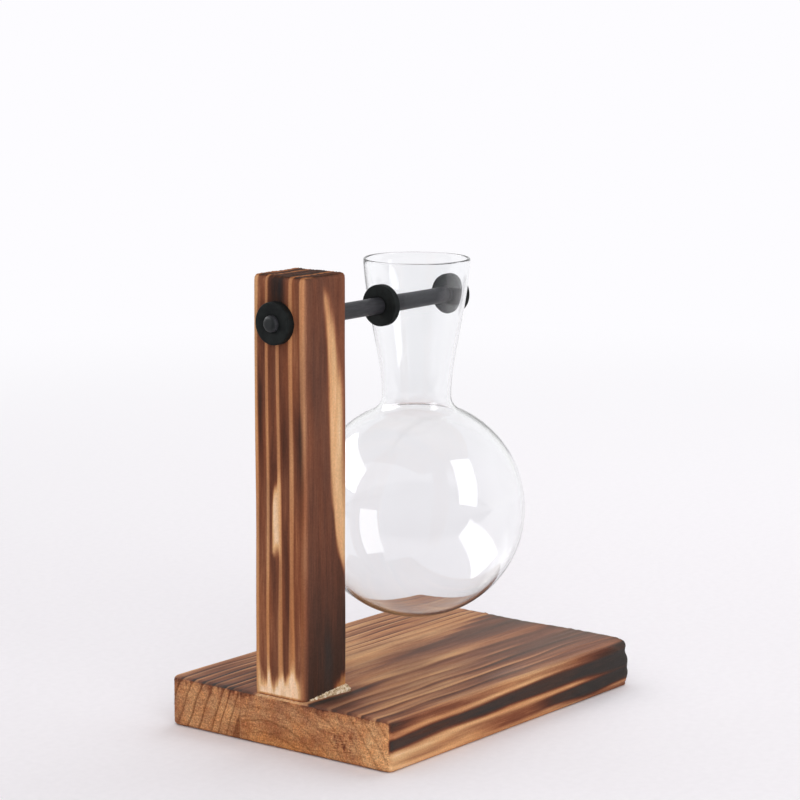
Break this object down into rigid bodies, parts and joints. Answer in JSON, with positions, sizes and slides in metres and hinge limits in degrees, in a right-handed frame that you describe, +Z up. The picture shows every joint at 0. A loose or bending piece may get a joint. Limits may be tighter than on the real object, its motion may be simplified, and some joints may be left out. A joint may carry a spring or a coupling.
{
  "type": "propagation vase",
  "caption": "Round glass bulb vase with a flared neck, hung on a black rod through its neck from a torched wooden post on a flat board, so that it swings on the rod.",
  "frame": {"origin": "centre of the board's flat underside, on the surface that the part stands on", "axes": "+X along the board from the post towards the bulb, +Y across the board towards the narrow stave, +Z up"},
  "size_m": [0.1515, 0.1, 0.1664],
  "materials": {
    "board_wood": "torched softwood, brushed, charred along the grain",
    "post_wood": "torched softwood, brushed, with light late-wood lines",
    "screw_steel": "zinc plated",
    "rod_black": "satin black coating",
    "ring_rubber": "matt black rubber",
    "clear_glass": "clear blown glass, fire-polished lip"
  },
  "bodies": {
    "stand": {"base_stave_wide": "board_wood", "base_stave_narrow": "board_wood", "upright_post": "post_wood", "post_screws": "screw_steel", "support_rod": "rod_black", "post_stop_ring": "ring_rubber", "inner_stop_ring": "ring_rubber"},
    "end_ring": {"end_stop_ring": "ring_rubber"},
    "vase": {"glass_vase": "clear_glass"}
  },
  "joints": [
    {"name": "end_ring_pull", "type": "slide", "parent": "stand", "child": "end_ring", "axis": [1, 0, 0], "range_m": [0, 0.05]},
    {"name": "vase_swing", "type": "hinge", "parent": "end_ring", "child": "vase", "pos_m": [0.0055, 0, 0.15027], "axis": [1, 0, 0], "continuous": true}
  ]
}
